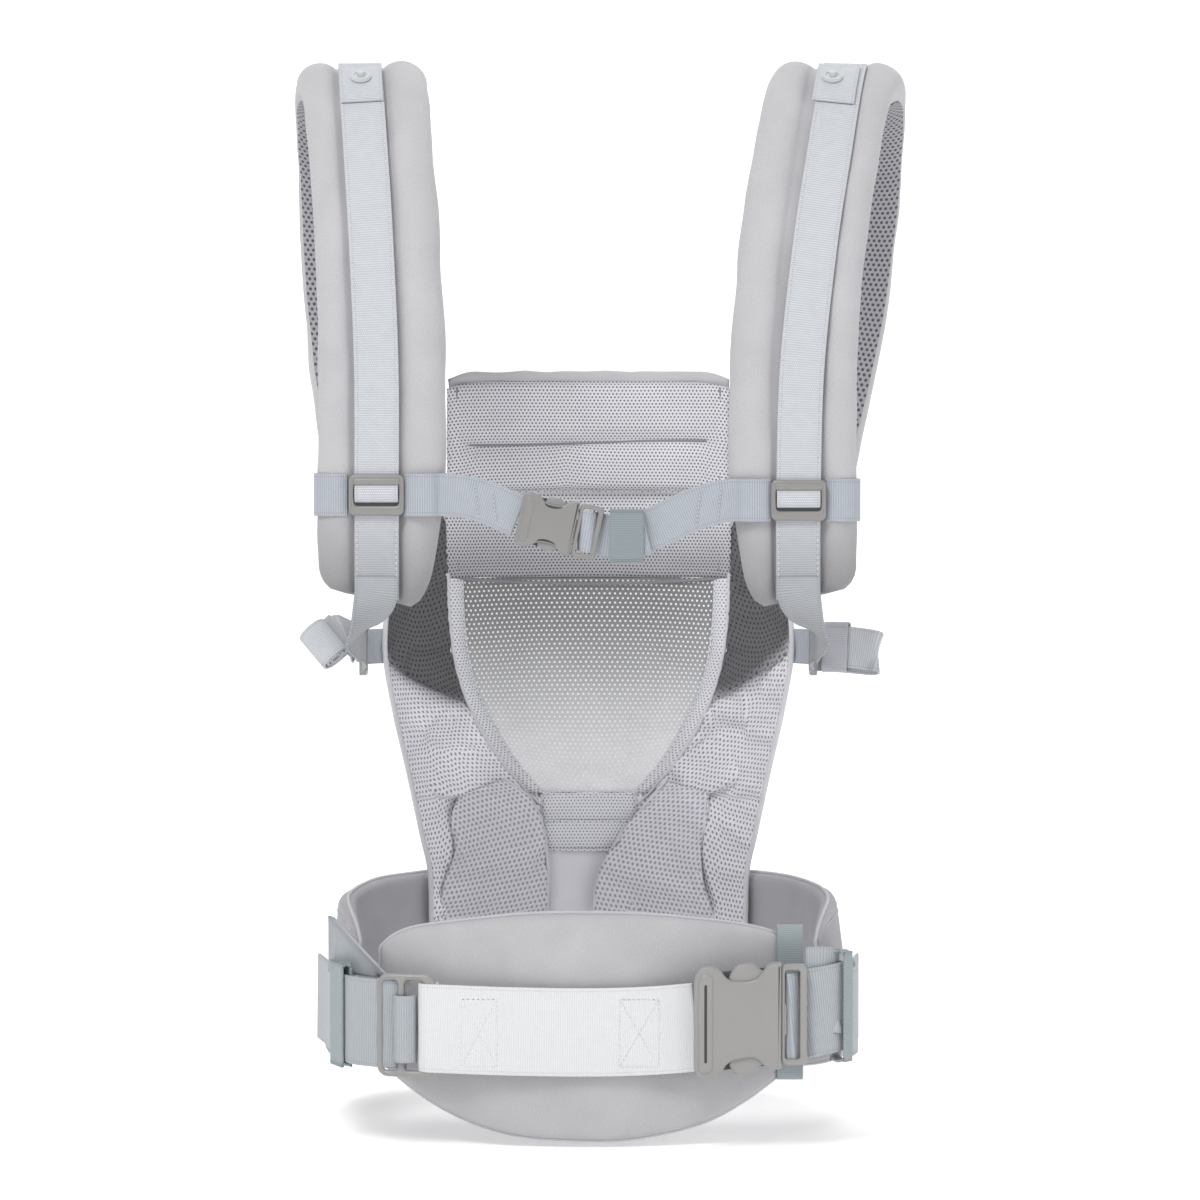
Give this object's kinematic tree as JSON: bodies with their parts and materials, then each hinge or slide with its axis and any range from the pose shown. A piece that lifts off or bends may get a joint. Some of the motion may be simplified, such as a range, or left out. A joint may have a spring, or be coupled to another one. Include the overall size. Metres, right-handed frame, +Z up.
{
  "type": "soft baby carrier",
  "caption": "Soft baby carrier with padded shoulder straps, mesh panel, folding head support, padded waist belt, lumbar pad and side-release buckles.",
  "frame": {"origin": "middle of the waist loop, level with the middle of the waist webbing", "axes": "+X to the side of the waist buckle's plug, +Y from the wearer's back towards the baby's panel, +Z up"},
  "size_m": [0.3621, 0.282, 0.612],
  "materials": {
    "fabric": "plain woven cotton, matte",
    "fine_mesh": "fine spacer mesh",
    "window_mesh": "open spacer mesh",
    "side_mesh": "large-hole 3D mesh",
    "webbing": "ribbed polyester webbing, slight sheen",
    "white_webbing": "ribbed white webbing",
    "elastic": "ribbed elastic",
    "plastic": "moulded acetal, satin",
    "foam": "open-cell foam",
    "stud": "clear moulded snap stud"
  },
  "bodies": {
    "carrier": {"belt_outer_cover": "fabric", "belt_inner_cover": "fabric", "belt_foam": "foam", "centre_mesh": "window_mesh", "centre_mesh_border": "fabric", "upper_panel": "fine_mesh", "side_panel_left": "side_mesh", "side_panel_right": "side_mesh", "lower_mesh_bands": "fine_mesh", "base_patch": "fabric", "lumbar_cover": "fabric", "lumbar_lining": "fine_mesh", "lumbar_foam": "foam", "waist_webbing": "white_webbing", "waist_tri_glide": "plastic", "waist_webbing_left": "webbing", "waist_keeper_left": "elastic", "waist_flap": "webbing", "waist_buckle_housing": "plastic", "waist_webbing_right": "webbing", "waist_safety_loop": "elastic", "strap_cover_left": "fabric", "strap_foam_left": "foam", "strap_lining_left": "fine_mesh", "rail_webbing_left": "webbing", "strap_cover_right": "fabric", "strap_foam_right": "foam", "strap_lining_right": "fine_mesh", "rail_webbing_right": "webbing", "snap_tabs": "webbing", "snap_studs": "stud", "adjuster_webbing_left": "webbing", "anchor_tab_left": "webbing", "adjuster_webbing_right": "webbing", "anchor_tab_right": "webbing"},
    "head_support": {"head_support_inner": "fine_mesh", "head_support_outer": "fabric", "head_support_foam": "foam", "head_support_binding": "fabric"},
    "waist_plug": {"waist_buckle_plug": "plastic", "waist_webbing_tail": "webbing", "waist_keeper_right": "elastic"},
    "waist_prong_upper": {"waist_prong_upper": "plastic"},
    "waist_prong_lower": {"waist_prong_lower": "plastic"},
    "chest_left": {"chest_slider_left": "plastic", "chest_loop_left": "webbing", "chest_webbing_left": "webbing", "chest_buckle_housing": "plastic"},
    "chest_right": {"chest_slider_right": "plastic", "chest_loop_right": "webbing", "chest_webbing_right": "webbing"},
    "chest_plug": {"chest_buckle_plug": "plastic", "chest_webbing_tail": "webbing"},
    "chest_prong_upper": {"chest_prong_upper": "plastic"},
    "chest_prong_lower": {"chest_prong_lower": "plastic"},
    "chest_keeper": {"chest_keeper": "elastic"},
    "adjuster_left": {"ladder_lock_left": "plastic", "webbing_roll_left": "webbing"},
    "adjuster_right": {"ladder_lock_right": "plastic", "webbing_fold_right": "webbing"}
  },
  "joints": [
    {"name": "head_support_fold", "type": "hinge", "parent": "carrier", "child": "head_support", "pos_m": [0, 0.1165, 0.2975], "axis": [-1, 0, 0], "range_deg": [0, 150]},
    {"name": "waist_plug_slide", "type": "slide", "parent": "carrier", "child": "waist_plug", "axis": [1, 0, 0], "range_m": [0, 0.04]},
    {"name": "waist_prong_upper_flex", "type": "hinge", "parent": "waist_plug", "child": "waist_prong_upper", "pos_m": [0.1065, -0.1445, 0.0291], "axis": [0, -1, 0], "range_deg": [0, 8], "stiffness_Nm_per_rad": 0.6},
    {"name": "waist_prong_lower_flex", "type": "hinge", "parent": "waist_plug", "child": "waist_prong_lower", "pos_m": [0.1065, -0.1445, -0.0231], "axis": [0, 1, 0], "range_deg": [0, 8], "stiffness_Nm_per_rad": 0.6},
    {"name": "chest_height_left", "type": "slide", "parent": "carrier", "child": "chest_left", "axis": [0, 0, 1], "range_m": [-0.03, 0.045]},
    {"name": "chest_height_right", "type": "slide", "parent": "carrier", "child": "chest_right", "axis": [0, 0, 1], "range_m": [-0.03, 0.045]},
    {"name": "chest_plug_slide", "type": "slide", "parent": "chest_right", "child": "chest_plug", "axis": [0.9781, 0, -0.2079], "range_m": [0, 0.025]},
    {"name": "chest_prong_upper_flex", "type": "hinge", "parent": "chest_plug", "child": "chest_prong_upper", "pos_m": [-0.00773, -0.144, 0.29199], "axis": [0, -1, 0], "range_deg": [0, 8], "stiffness_Nm_per_rad": 0.3},
    {"name": "chest_prong_lower_flex", "type": "hinge", "parent": "chest_plug", "child": "chest_prong_lower", "pos_m": [-0.01214, -0.144, 0.27126], "axis": [0, 1, 0], "range_deg": [0, 8], "stiffness_Nm_per_rad": 0.3},
    {"name": "chest_keeper_slide", "type": "slide", "parent": "chest_plug", "child": "chest_keeper", "axis": [1, 0, 0], "range_m": [-0.002, 0.003]},
    {"name": "left_adjuster_tilt", "type": "hinge", "parent": "carrier", "child": "adjuster_left", "pos_m": [-0.134, 0.0342, 0.205], "axis": [0, 0, -1], "range_deg": [0, 35]},
    {"name": "right_adjuster_tilt", "type": "hinge", "parent": "carrier", "child": "adjuster_right", "pos_m": [0.134, 0.0342, 0.205], "axis": [0, 0, 1], "range_deg": [0, 35]}
  ],
  "couplings": [
    {"joint": "waist_prong_lower_flex", "follows": "waist_prong_upper_flex", "ratio": 1},
    {"joint": "chest_prong_lower_flex", "follows": "chest_prong_upper_flex", "ratio": 1},
    {"joint": "chest_height_right", "follows": "chest_height_left", "ratio": 1}
  ]
}
